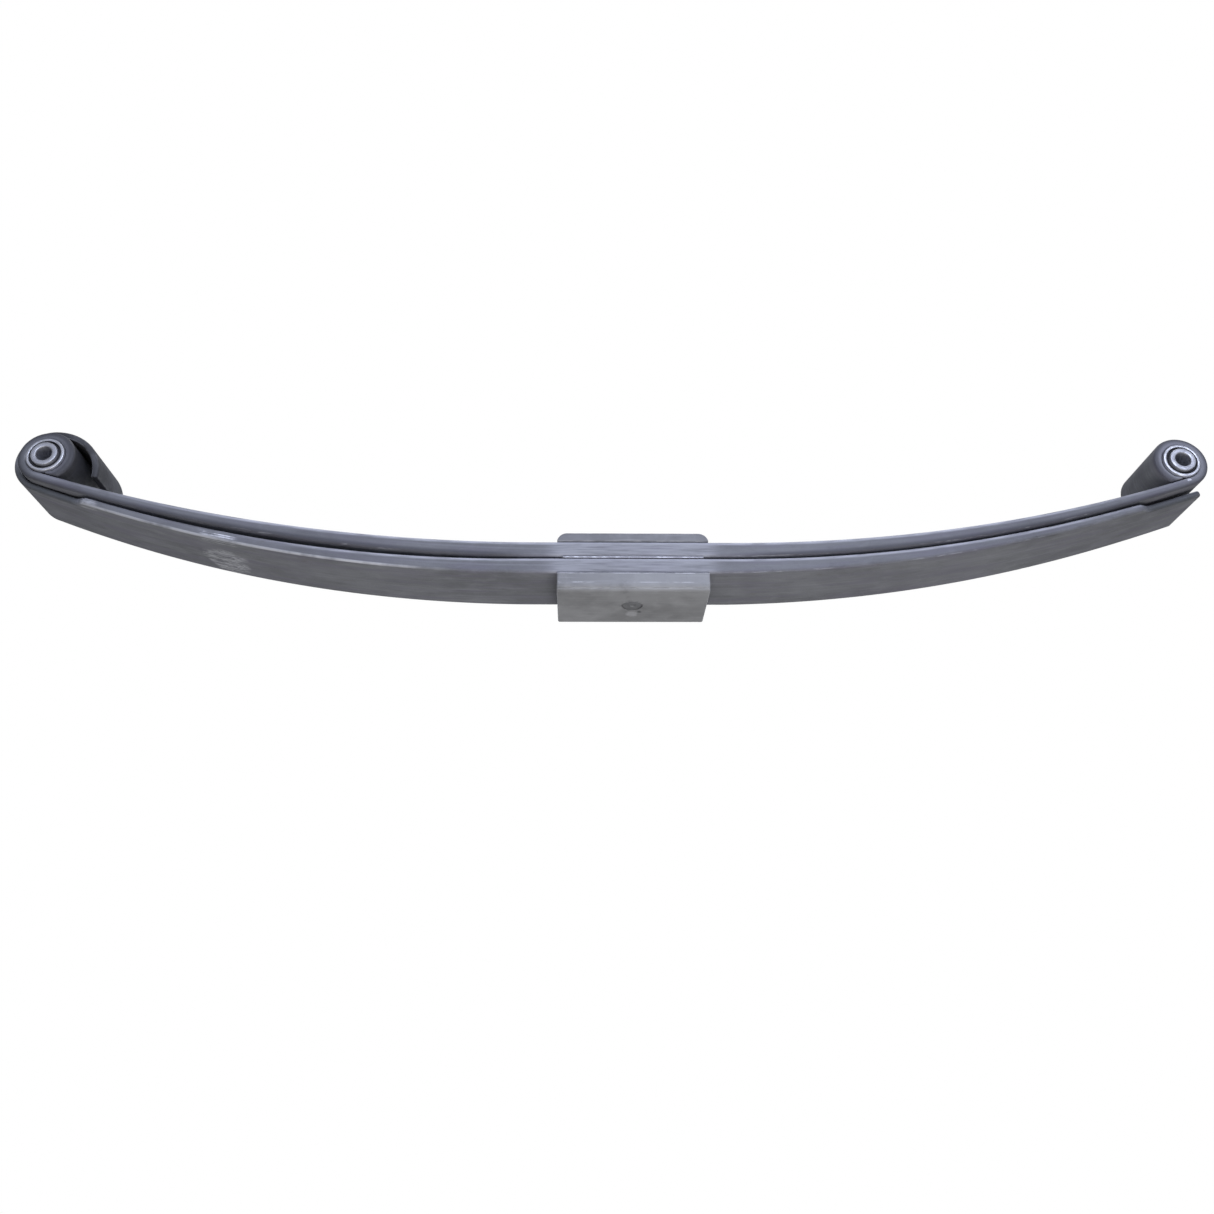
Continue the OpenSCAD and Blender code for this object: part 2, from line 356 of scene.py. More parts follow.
# ---------------------------------------------------------------- materials
class Finish:
    """A node material with a principled shader, and short ways to add the nodes that drive it."""

    def __init__(self, name, **sockets):
        self.material = bpy.data.materials.new(name)
        self.material.use_nodes = True
        self.tree = self.material.node_tree
        self.tree.nodes.clear()
        self.bsdf = self.tree.nodes.new("ShaderNodeBsdfPrincipled")
        output = self.tree.nodes.new("ShaderNodeOutputMaterial")
        self.tree.links.new(self.bsdf.outputs[0], output.inputs["Surface"])
        for key, value in sockets.items():
            self.bsdf.inputs[key.replace("_", " ")].default_value = value

    def feed(self, socket, value):
        if isinstance(value, bpy.types.NodeSocket):
            self.tree.links.new(value, socket)
        else:
            socket.default_value = value

    def set(self, name, value):
        self.feed(self.bsdf.inputs[name], value)

    def attribute(self, name, output="Vector"):
        node = self.tree.nodes.new("ShaderNodeAttribute")
        node.attribute_name = name
        return node.outputs[output]

    def place(self):
        return self.tree.nodes.new("ShaderNodeTexCoord").outputs["Object"]

    def split(self, vector):
        node = self.tree.nodes.new("ShaderNodeSeparateXYZ")
        self.feed(node.inputs[0], vector)
        return node.outputs

    def math(self, operation, a, b=0.0):
        node = self.tree.nodes.new("ShaderNodeMath")
        node.operation = operation
        self.feed(node.inputs[0], a)
        self.feed(node.inputs[1], b)
        return node.outputs[0]

    def times(self, a, b):
        return self.math("MULTIPLY", a, b)

    def larger(self, a, b):
        return self.math("MAXIMUM", a, b)

    def distance(self, value, place):
        return self.math("ABSOLUTE", self.math("SUBTRACT", value, place))

    def vector(self, operation, a, b):
        node = self.tree.nodes.new("ShaderNodeVectorMath")
        node.operation = operation
        self.feed(node.inputs[0], a)
        self.feed(node.inputs[1], b)
        return node.outputs["Value" if operation == "DISTANCE" else "Vector"]

    def noise(self, vector, scale, detail=3.0, rough=0.55, distortion=0.0):
        """Noise between 0 and 1. A scale of three numbers stretches it."""
        node = self.tree.nodes.new("ShaderNodeTexNoise")
        if isinstance(scale, tuple):
            vector, scale = self.vector("MULTIPLY", vector, scale), 1.0
        self.feed(node.inputs["Vector"], vector)
        node.inputs["Scale"].default_value = scale
        node.inputs["Detail"].default_value = detail
        node.inputs["Roughness"].default_value = rough
        node.inputs["Distortion"].default_value = distortion
        return node.outputs["Fac"]

    def cells(self, vector, scale):
        node = self.tree.nodes.new("ShaderNodeTexVoronoi")
        self.feed(node.inputs["Vector"], vector)
        node.inputs["Scale"].default_value = scale
        return node.outputs["Distance"]

    def between(self, value, low, high, to_low=0.0, to_high=1.0):
        """Maps low..high smoothly onto to_low..to_high."""
        node = self.tree.nodes.new("ShaderNodeMapRange")
        node.interpolation_type = "SMOOTHSTEP"
        for key, number in (("Value", value), ("From Min", low), ("From Max", high),
                            ("To Min", to_low), ("To Max", to_high)):
            self.feed(node.inputs[key], number)
        return node.outputs[0]

    def mix(self, factor, a, b):
        """Mixes two colours, which are sockets or three numbers each."""
        node = self.tree.nodes.new("ShaderNodeMix")
        node.data_type = "RGBA"
        self.feed(node.inputs[0], factor)
        for socket, colour in ((node.inputs[6], a), (node.inputs[7], b)):
            self.feed(socket, (*colour, 1.0) if isinstance(colour, tuple) else colour)
        return node.outputs[2]

    def bump(self, height, distance, strength=1.0, under=None):
        node = self.tree.nodes.new("ShaderNodeBump")
        node.inputs["Distance"].default_value = distance
        node.inputs["Strength"].default_value = strength
        self.feed(node.inputs["Height"], height)
        if under is not None:
            self.feed(node.inputs["Normal"], under)
        return node.outputs[0]


def scaled(colour, factor):
    return tuple(c * factor for c in colour)


# colours of the leaves: paint, its streaks and stains, painted shade, painted highlight and light, and bare
# metal
PAINT_DARK, PAINT_LIGHT = (0.135, 0.138, 0.150), (0.185, 0.189, 0.207)
STREAK, GRAIN = (0.30, 0.31, 0.345), (0.33, 0.335, 0.35)
VIOLET, RUST = (0.150, 0.138, 0.192), (0.115, 0.095, 0.078)
# painted shade: on the rolled ends, on the sides further out, and along the sides' lower part
ROLL_SHADE, OUTER_SIDE_SHADE, LOW_SHADE = (0.028, 0.028, 0.031), (0.045, 0.044, 0.062), (0.040, 0.039, 0.050)
# painted shade: round the left eye, and on the second leaf's narrowed edges
RIM_SHADE, NARROW_SHADE = (0.040, 0.041, 0.048), (0.040, 0.043, 0.046)
# a painted highlight along the sides' upper part, painted light in the clamp, and bare metal
CREST_HIGHLIGHT, CLAMP_LIGHT, BARE = (0.50, 0.505, 0.56), (0.40, 0.405, 0.45), (0.60, 0.605, 0.645)
# places of single marks on the leaves, along them and across them
PATCH_RUN, PATCH_ACROSS, SCRATCH_RUN, CHIP_RUN, NICK_RUN = -0.419, 0.010, -0.418, -0.558, 0.600
# how far from the middle of its width a leaf's side begins, and from where it is all side
SIDE_FROM, SIDE_TO = 0.0362, 0.0388


def leaf_tones(f, bar, clouds, streaks):
    """Uneven dark paint: patches, clouds, streaks along the leaf, grain, a violet cast and rust."""
    patches = f.noise(bar, (9, 22, 22), 4, 0.6)
    grain = f.noise(bar, 900, 3, 0.6)
    violet = f.noise(bar, (14, 120, 120), 3, 0.6)
    rust = f.noise(bar, (26, 60, 60), 4, 0.7)
    base = f.mix(f.between(patches, 0.32, 0.68), PAINT_DARK, PAINT_LIGHT)
    base = f.mix(f.between(clouds, 0.42, 0.74, 0, 0.5), base, scaled(PAINT_LIGHT, 1.35))
    base = f.mix(f.between(clouds, 0.46, 0.24, 0, 0.45), base, scaled(PAINT_DARK, 0.62))
    base = f.mix(f.between(streaks, 0.5, 0.72, 0, 0.28), base, STREAK)
    base = f.mix(f.between(grain, 0.56, 0.7, 0, 0.25), base, GRAIN)
    base = f.mix(f.between(violet, 0.42, 0.68, 0, 0.4), base, VIOLET)
    return f.mix(f.between(rust, 0.62, 0.76, 0, 0.35), base, RUST)


def leaf_painted_shade(f, base, bar, side, low_shade, end_shade):
    """Painted shade: on the rolled ends, on the sides further out, and most along the sides' lower part."""
    run, _, depth = f.split(bar)
    reach = f.math("ABSOLUTE", run)
    # painted shade on the rolled ends of both eyes, broken up by noise and kept off the sides
    roll_shade_mask = f.larger(f.between(run, 0.655, 0.70, 0, end_shade), f.between(run, -0.655, -0.70, 0, 0.9))
    roll_shade_mask = f.times(roll_shade_mask, f.math("SUBTRACT", 1.0, side))
    roll_shade_mask = f.times(roll_shade_mask, f.between(f.noise(bar, (40, 40, 40), 4, 0.6), 0.35, 0.65, 1.0, 0.72))
    base = f.mix(roll_shade_mask, base, ROLL_SHADE)
    # painted shade: the sides darken further out from the clamp
    outer_side_shade = f.times(side, f.between(reach, 0.10, 0.42, 0.06, 0.20))
    base = f.mix(outer_side_shade, base, OUTER_SIDE_SHADE)
    # painted shade along the lower part of the sides, next to the gap under each leaf
    low_part = f.between(f.math("ADD", depth, f.times(reach, 0.0125)), 0.0122, 0.0162)
    low_part = f.times(low_part, f.times(side, f.between(reach, 0.09, 0.15, 0, low_shade)))
    return f.mix(low_part, base, LOW_SHADE)


def narrow_edge_shade(f, bar):
    """Painted shade on the second leaf's narrowed edges, which lie under the main leaf."""
    run, across, _ = f.split(bar)
    left = f.times(f.between(run, -0.570, -0.582), f.between(run, -0.665, -0.645))
    ends = f.larger(f.between(run, 0.542, 0.554), left)
    edge = f.times(f.between(across, -0.0262, -0.0292), f.between(across, -0.034, -0.031))
    return f.times(f.times(ends, edge), 0.78)


def leaf_sides(f, base, bar, side, scuffs):
    """Sides with a painted highlight along their upper part, painted light in the clamp, and painted shade
    round the left eye and on the narrowed edges.
    """
    run, _, depth = f.split(bar)
    reach = f.math("ABSOLUTE", run)
    # painted highlight along the upper part of the sides, weaker towards the eyes and far out on the second
    # leaf's left arm
    crest = f.times(side, f.between(depth, 0.0050, 0.0022))
    crest = f.times(crest, f.between(f.noise(bar, (34, 380, 380), 4, 0.65), 0.3, 0.6, 0.3, 0.95))
    crest = f.times(crest, f.between(reach, 0.60, 0.38, 0.25, 1.0))
    if scuffs:
        crest = f.times(crest, f.between(run, -0.40, -0.28, 0.15, 1.0))
    base = f.mix(crest, base, CREST_HIGHLIGHT)
    # painted shade on the sides round the left eye
    rim = f.times(side, f.between(run, -0.615, -0.64, 0, 0.52))
    base = f.mix(rim, base, RIM_SHADE)
    # painted shade on the second leaf's narrowed edges, under the main leaf
    if scuffs:
        base = f.mix(narrow_edge_shade(f, bar), base, NARROW_SHADE)
    # painted light on the sides in the clamp, broken into streaks
    clamp = f.times(side, f.between(reach, 0.095, 0.07))
    clamp = f.times(clamp, f.between(f.noise(bar, (24, 500, 500), 4, 0.6), 0.3, 0.65, 0.15, 0.7))
    return f.mix(clamp, base, CLAMP_LIGHT)


def rubbed_patch(f, bar, under):
    """A ragged oval of rubbed metal under the left arm."""
    run, across, _ = f.split(bar)
    along = f.times(f.math("SUBTRACT", run, PATCH_RUN), 1 / 0.027)
    aside = f.times(f.math("SUBTRACT", across, PATCH_ACROSS), 1 / 0.031)
    reach = f.math("ADD", f.times(along, along), f.times(aside, aside))
    ragged = f.math("ADD", reach, f.times(f.noise(bar, 55, 4, 0.6), 1.6))
    rubbed = f.between(f.noise(bar, (60, 210, 210), 4, 0.7, 1.2), 0.40, 0.62)
    return f.times(f.times(f.between(ragged, 1.75, 1.25), f.times(rubbed, 0.85)), under)


def scuff_marks(f, bar, wear):
    """The second leaf's rubbed patch, the scratches and chips on its near edge, and its worn lower edge."""
    run, across, depth = f.split(bar)
    under = f.between(depth, 0.006, 0.0075)
    near = f.between(across, -0.026, -0.033)
    lines = f.between(f.noise(bar, (13, 620, 620), 3, 0.6), 0.50, 0.62)
    thin = f.times(lines, f.between(f.noise(bar, (75, 75, 75), 3, 0.6), 0.36, 0.58))
    edge_run = f.times(f.math("SUBTRACT", run, SCRATCH_RUN), 1 / 0.023)
    mask = f.times(f.between(f.math("ABSOLUTE", edge_run), 1.0, 0.6), near)
    marks = f.larger(rubbed_patch(f, bar, under), f.times(thin, mask))
    line = f.times(f.between(wear, 0.16, 0.36), f.times(under, f.between(across, -0.035, -0.037)))
    line = f.times(line, f.between(run, -0.17, -0.27))
    line = f.times(line, f.between(f.noise(bar, (26, 1, 1), 3, 0.6), 0.32, 0.55, 0.2, 0.8))
    chip = f.times(f.between(f.distance(run, CHIP_RUN), 0.012, 0.006), near)
    chip = f.times(chip, f.between(f.noise(bar, (40, 420, 420), 3, 0.6), 0.40, 0.6, 0, 0.6))
    return f.larger(marks, f.larger(line, chip))


def end_nick(f, bar):
    """A small nick in the main leaf's upper near edge, by the right eye."""
    run, across, depth = f.split(bar)
    edge = f.times(f.between(across, -0.0362, -0.0378), f.between(depth, 0.0052, 0.0036))
    nick = f.times(f.between(f.distance(run, NICK_RUN), 0.0030, 0.0016), edge)
    return f.times(nick, f.between(f.noise(bar, 420, 2, 0.6), 0.36, 0.5))


def bare_edges(f, bar, wear, clouds):
    """Bare metal along the edges, broken up along the leaf, and in small pits."""
    breaks = f.noise(bar, (70, 500, 500), 4, 0.65)
    long_breaks = f.noise(bar, (9, 9, 9), 3, 0.5)
    bare = f.times(wear, f.between(breaks, 0.3, 0.62))
    bare = f.times(bare, f.between(long_breaks, 0.3, 0.6, 0.35, 1.0))
    pits = f.times(f.between(f.cells(bar, 420), 0.10, 0.02), f.between(clouds, 0.52, 0.66))
    return f.larger(f.between(bare, 0.28, 0.72), f.times(pits, 0.6))


def spring_steel(name, low_shade, end_shade, scuffs=False):
    """Worn dark paint on shot-peened steel, with painted shade and highlights, bare edges, and either scuffs
    or one small nick.
    """
    f = Finish(name, Specular_IOR_Level=0.42)
    bar, wear = f.attribute("bar"), f.attribute("wear", "Fac")
    clouds = f.noise(bar, (45, 90, 90), 5, 0.62, 0.4)
    streaks = f.noise(bar, (5, 330, 330), 3, 0.6)
    side = f.between(f.math("ABSOLUTE", f.split(bar)[1]), SIDE_FROM, SIDE_TO)
    base = leaf_tones(f, bar, clouds, streaks)
    base = leaf_painted_shade(f, base, bar, side, low_shade, end_shade)
    base = leaf_sides(f, base, bar, side, scuffs)
    marks = scuff_marks(f, bar, wear) if scuffs else end_nick(f, bar)
    bare = f.larger(bare_edges(f, bar, wear, clouds), marks)
    f.set("Base Color", f.mix(bare, base, BARE))
    f.set("Metallic", f.times(bare, 0.55))
    rough = f.between(clouds, 0.3, 0.7, 0.50, 0.68)
    f.set("Roughness", f.math("SUBTRACT", rough, f.times(bare, 0.16)))
    low = f.bump(clouds, 0.0006, 0.5)
    mid = f.bump(streaks, 0.00012, 0.5, low)
    f.set("Normal", f.bump(f.noise(bar, 1500, 2, 0.5), 0.00012, 0.55, mid))
    return f.material


def plate_steel(name, dark, light, spots=()):
    """Thinner grey paint on rolled plate, rubbed bright along its edges.

    A spot is a centre, a size and a strength: above zero it is bare metal, and below zero it is dirt.
    """
    f = Finish(name, Specular_IOR_Level=0.42)
    place, wear = f.place(), f.attribute("wear", "Fac")
    clouds = f.noise(place, 60, 5, 0.62, 0.3)
    patches = f.noise(place, 16, 3, 0.5)
    streaks = f.noise(place, (14, 420, 420), 3, 0.6)
    base = f.mix(f.between(patches, 0.35, 0.65), dark, light)
    base = f.mix(f.between(clouds, 0.45, 0.75, 0, 0.4), base, scaled(light, 1.3))
    base = f.mix(f.between(clouds, 0.46, 0.26, 0, 0.35), base, scaled(dark, 0.6))
    base = f.mix(f.between(streaks, 0.5, 0.75, 0, 0.3), base, (0.42, 0.42, 0.45))
    breaks = f.noise(place, (60, 400, 400), 4, 0.65)
    bare = f.between(f.times(wear, f.between(breaks, 0.28, 0.6)), 0.25, 0.7)
    for centre, size, strength in spots:
        away = f.times(f.vector("DISTANCE", place, centre), 1 / size)
        mark = f.between(f.math("ADD", away, f.times(f.noise(place, 160, 3, 0.6), 1.1)), 1.35, 0.85)
        if strength > 0:
            bare = f.larger(bare, f.times(mark, strength))
        else:
            base = f.mix(f.times(mark, -strength), base, (0.045, 0.045, 0.05))
    f.set("Base Color", f.mix(bare, base, (0.62, 0.62, 0.655)))
    f.set("Metallic", f.times(bare, 0.5))
    rough = f.between(clouds, 0.3, 0.7, 0.48, 0.64)
    f.set("Roughness", f.math("SUBTRACT", rough, f.times(bare, 0.14)))
    low = f.bump(clouds, 0.0005, 0.45)
    mid = f.bump(streaks, 0.0001, 0.4, low)
    f.set("Normal", f.bump(f.noise(place, 1300, 2, 0.5), 0.0001, 0.5, mid))
    return f.material


def turned_steel(name, bright, dull, rough):
    """Bright turned steel, with rings of tool marks and handling stains."""
    f = Finish(name, Metallic=0.85, Specular_IOR_Level=0.5)
    place, lathe = f.place(), f.attribute("lathe")
    rings = f.noise(lathe, (5200, 1500, 1), 2, 0.5)
    stains = f.noise(place, 170, 4, 0.6)
    base = f.mix(f.between(stains, 0.35, 0.7), bright, dull)
    base = f.mix(f.between(rings, 0.4, 0.7, 0, 0.35), base, scaled(bright, 1.15))
    f.set("Base Color", base)
    f.set("Roughness", f.between(stains, 0.3, 0.7, rough, rough + 0.2))
    f.set("Normal", f.bump(rings, 0.00004, 0.6, f.bump(stains, 0.0001, 0.2)))
    return f.material


def moulded_black(name, tone, rough):
    """Black rubber or plastic, greyed by dust."""
    f = Finish(name, Specular_IOR_Level=0.35)
    place = f.place()
    dust = f.noise(place, 90, 5, 0.65)
    base = f.mix(f.between(dust, 0.45, 0.75, 0, 0.5), tone, tuple(c * 2.6 + 0.01 for c in tone))
    f.set("Base Color", base)
    f.set("Roughness", f.between(dust, 0.3, 0.7, rough, rough + 0.18))
    f.set("Normal", f.bump(f.noise(place, 900, 2, 0.5), 0.00008, 0.5, f.bump(dust, 0.0002, 0.3)))
    return f.material


def phosphated(name):
    """Dark phosphated fastener steel with a few rust freckles. The bolt's head has the pad's paint."""
    f = Finish(name, Metallic=0.45, Specular_IOR_Level=0.45)
    place = f.place()
    clouds = f.noise(place, 130, 4, 0.6)
    freckles = f.noise(place, 420, 3, 0.6)
    base = f.mix(f.between(clouds, 0.35, 0.65), (0.075, 0.076, 0.082), (0.145, 0.146, 0.155))
    base = f.mix(f.between(freckles, 0.62, 0.72, 0, 0.55), base, (0.16, 0.10, 0.065))
    paint = f.mix(clouds, (0.16, 0.162, 0.17), (0.30, 0.303, 0.32))
    in_pad = f.between(f.split(place)[2], 0.010, 0.008)
    f.set("Base Color", f.mix(in_pad, base, paint))
    f.set("Roughness", f.between(clouds, 0.3, 0.7, 0.42, 0.62))
    f.set("Normal", f.bump(freckles, 0.00012, 0.5, f.bump(clouds, 0.0003, 0.3)))
    return f.material


def zinc_sheet(name):
    """Bare zinc-coated sheet, with a faint spangle and drag marks."""
    f = Finish(name, Metallic=0.7, Specular_IOR_Level=0.5)
    place = f.place()
    spangle = f.cells(place, 190)
    drag = f.noise(place, (30, 900, 900), 3, 0.6)
    base = f.mix(f.between(spangle, 0.2, 0.7), (0.42, 0.42, 0.45), (0.33, 0.33, 0.36))
    base = f.mix(f.between(drag, 0.5, 0.75, 0, 0.4), base, (0.22, 0.22, 0.24))
    f.set("Base Color", base)
    f.set("Roughness", f.between(spangle, 0.2, 0.7, 0.34, 0.5))
    f.set("Normal", f.bump(drag, 0.00005, 0.5))
    return f.material


# a rubbed spot beside the bolt's head, and two dirty ones
PAD_SPOTS = (((0.000, 0.019, 0.0), 0.010, 0.45),
             ((0.008, 0.014, 0.0), 0.004, -0.7),
             ((0.000, -0.002, 0.0), 0.018, -0.4))
MAIN_FINISH = spring_steel("spring_steel_main", low_shade=0.7, end_shade=0.5)
SECOND_FINISH = spring_steel("spring_steel_second", low_shade=0.15, end_shade=0.85, scuffs=True)
TOP_FINISH = plate_steel("plate_steel", (0.17, 0.172, 0.185), (0.24, 0.242, 0.26))
PAD_FINISH = plate_steel("pad_steel", (0.215, 0.216, 0.225), (0.285, 0.287, 0.30), PAD_SPOTS)
LINER_FINISH = zinc_sheet("liner_zinc")
SHELL_FINISH = turned_steel("bush_shell", (0.62, 0.625, 0.66), (0.44, 0.445, 0.48), 0.30)
SLEEVE_FINISH = turned_steel("bush_sleeve", (0.50, 0.505, 0.54), (0.36, 0.365, 0.40), 0.36)
RUBBER_FINISH = moulded_black("bush_rubber", (0.022, 0.022, 0.025), 0.55)
TIP_FINISH = moulded_black("tip_pad", (0.035, 0.035, 0.038), 0.42)
BOLT_FINISH = phosphated("fastener")

# ---------------------------------------------------------------- leaves
for side in SIDES:
    add(sweep("main_leaf_" + SIDE_NAME[side], main_stations(side)),
        MAIN_FINISH, ["main_leaf"], bend=side)
    add(sweep("second_leaf_" + SIDE_NAME[side], second_stations(side)),
        SECOND_FINISH, ["second_leaf"], bend=side)


# ---------------------------------------------------------------- clamp plates and liner
def liner_mesh():
    """The thin sheet between the leaves, with just its edges broken."""
    (x0, _, z0), (x1, y1, z1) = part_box("centre_liner")
    stations = [((x, z1), (0.0, -1.0), z1 - z0, y1, x) for x in np.linspace(x0, x1, 15)]
    return sweep("centre_liner_sheet", stations, corner=0.0003, end_round=0.0003, both_ends=True)


def top_plate_mesh():
    """The plate on top of the leaves. Its upper face rounds down to a fifth of its height at the ends."""
    (_, _, z0), (x1, y1, z1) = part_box("top_plate")
    t = z1 - z0
    end = [(x1 - t * (1 - math.sin(a)), t * math.cos(a)) for a in np.radians(range(78, 0, -10))]
    middle = [(x, t) for x in np.linspace(x1 - t, t - x1, 15)]
    profile = end + middle + [(-x, h) for x, h in reversed(end)]
    stations = [((x, z0 + h), (0.0, -1.0), h, y1, x) for x, h in reversed(profile)]
    return sweep("top_plate_body", stations, corner=0.0022, end_round=0.0006, both_ends=True)


def rounded_outline(hx, hy, r, steps=8, along=16, across=10):
    """A rounded rectangle's points, anticlockwise, the same number whatever its size."""
    points = []
    for cx, cy, start in ((1, 1, 0), (-1, 1, 90), (-1, -1, 180), (1, -1, 270)):
        for k in range(steps + 1):
            a = math.radians(start + 90 * k / steps)
            points.append((cx * (hx - r) + r * math.cos(a), cy * (hy - r) + r * math.sin(a)))
        n = along if start in (0, 180) else across
        corner = {0: (-(hx - r), hy), 90: (-hx, -(hy - r)), 180: (hx - r, -hy), 270: (hx, hy - r)}[start]
        x, y = points[-1]
        points += [(x + (corner[0] - x) * k / n, y + (corner[1] - y) * k / n) for k in range(1, n)]
    return points


PAD_X, PAD_Y, PAD_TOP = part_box("axle_pad")[1]
PAD_CORNER_R, PAD_LOW_R, PAD_HIGH_R, PAD_NEAR_R = 0.002, 0.0012, 0.0010, 0.0080


def near_round(x, y, z):
    """Bends the pad's square -Y lower edge onto its deep round, with the end faces following inside it."""
    s = y + PAD_Y
    if s >= PAD_NEAR_R or z >= PAD_NEAR_R:
        return x, y, z
    level = min(s, z)
    r = PAD_NEAR_R - level
    a = math.pi / 4 * (1 + (z - level) / r - (s - level) / r)
    return x, PAD_NEAR_R - PAD_Y - r * math.sin(a), PAD_NEAR_R - r * math.cos(a)


def pad_mesh():
    """The axle pad, as loops from its bolt hole, down the counterbore, and out and up to its upper face."""
    hole_r, bore_r, bore_top = SHANK_R + HOLE_GAP, HEAD_R + HOLE_GAP, HEAD_TOP
    angles = [math.atan2(y, x) for x, y in rounded_outline(PAD_X, PAD_Y, PAD_CORNER_R)]
    loops, wear = [], []

    def circle(r, z, worn=0.0):
        loops.append([(r * math.cos(a), r * math.sin(a), z) for a in angles])
        wear.append(worn)

    def outline(inset, z, worn=0.0):
        points = rounded_outline(PAD_X - inset, PAD_Y - inset, max(PAD_CORNER_R - inset, 0.0004))
        loops.append([(x, y, z) for x, y in points])
        wear.append(worn)

    def lower_face(f, inner):
        """A loop on the lower face, the share f of the way from the counterbore to the inner outline."""
        loops.append([(x * f + bore_r * math.cos(a) * (1 - f), y * f + bore_r * math.sin(a) * (1 - f), 0.0)
                      for (x, y), a in zip(inner, angles)])
        wear.append(0.0)

    circle(hole_r, PAD_TOP)
    circle(hole_r, bore_top)
    circle(bore_r, bore_top)
    circle(bore_r, 0.0008, 0.2)
    circle(bore_r + 0.0003, 0.0002, 0.6)
    circle(bore_r + 0.0008, 0.0, 0.2)
    inner = rounded_outline(PAD_X - PAD_NEAR_R - 0.001, PAD_Y - PAD_NEAR_R - 0.001, 0.0006)
    for f in (0.12, 0.3, 0.5, 0.7, 0.88, 1.0):
        lower_face(f, inner)
    for inset in np.linspace(PAD_NEAR_R, PAD_LOW_R, 9):
        outline(inset, 0.0)
    for a in (math.pi / 8 * k for k in (1, 2, 3, 4)):
        outline(PAD_LOW_R * (1 - math.sin(a)), PAD_LOW_R * (1 - math.cos(a)), 0.4)
    for z in np.linspace(PAD_LOW_R, PAD_NEAR_R, 9)[1:]:
        outline(0.0, z)
    outline(0.0, PAD_NEAR_R + 0.0008)
    outline(0.0, PAD_TOP - PAD_HIGH_R - 0.0004, 0.1)
    for a in (math.pi / 8 * k for k in range(5)):
        outline(PAD_HIGH_R * (1 - math.cos(a)), PAD_TOP - PAD_HIGH_R * (1 - math.sin(a)), 0.75)
    outline(PAD_HIGH_R + 0.001, PAD_TOP, 0.1)
    verts = [near_round(*p) for loop in loops for p in loop]
    # the wear attribute also carries a painted highlight: a thin line along the near face where it meets the
    # deep round
    worn = [0.6 if y < 0.0006 - PAD_Y and abs(z - PAD_NEAR_R) < 0.0005 else w
            for (_, y, z), w in zip(verts, np.repeat(wear, len(angles)))]
    faces = ring_faces(len(loops), len(angles), closed=True)
    return make_object("axle_pad_body", verts, faces, attributes={"wear": worn})


add(liner_mesh(), LINER_FINISH, ["centre_liner"], "clamped_leaves")
add(top_plate_mesh(), TOP_FINISH, ["top_plate"], "clamped_leaves")
add(pad_mesh(), PAD_FINISH, ["axle_pad"], "clamped_leaves")

# ---------------------------------------------------------------- centre bolt, washer and nut
bolt_low, bolt_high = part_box("centre_bolt")
washer_low, washer_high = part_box("centre_washer")
nut_low, nut_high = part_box("centre_nut")
THREAD_LOW = washer_high[2] + THREAD_START


def thread_radius(r, h, a):
    """Radius of the bolt at a height and an angle: a helix on the last part of its shank."""
    if h < THREAD_LOW or r < SHANK_R - 0.0001:
        return r
    turn = (h / THREAD_PITCH - a / (2 * math.pi)) % 1
    return r - THREAD_DEPTH * abs(2 * turn - 1)


def bolt_mesh():
    """The bolt: a round head with a shallow dimple in its face, a plain shank, and a thread."""
    low, high, edge = bolt_low[2], bolt_high[2], HEAD_EDGE_R
    profile = [(0.0022, low + 0.0006), (0.0032, low + 0.0004), (0.0036, low), (HEAD_R - edge, low)]
    profile += [(HEAD_R - edge + edge * math.sin(a), low + edge * (1 - math.cos(a)))
                for a in (math.radians(d) for d in (22, 45, 68, 90))]
    profile += [(HEAD_R, HEAD_TOP), (SHANK_R, HEAD_TOP), (SHANK_R, THREAD_LOW)]
    profile += [(SHANK_R, h) for h in np.arange(THREAD_LOW + 0.0002, high - 0.0007, THREAD_PITCH / 6)]
    profile += [(SHANK_R - 0.0008, high - 0.0002), (SHANK_R - 0.0014, high)]
    return revolve("centre_bolt_body", profile, (0, 0, 0), "Z", 64, closed=False, radius_at=thread_radius)


def washer_mesh():
    """The washer, rounded outside at both faces, with a small chamfer in its hole."""
    low, high, outer, inner = washer_low[2], washer_high[2], washer_high[0], SHANK_R + HOLE_GAP
    profile = [(inner, low)] + rounded_edge(outer, low, 0.0005, -1, 1)[::-1]
    profile += rounded_edge(outer, high, 0.0007, -1, -1)
    profile += [(inner + 0.0004, high), (inner, high - 0.0004)]
    return revolve("centre_washer_ring", profile, (0, 0, 0), "Z", 96)


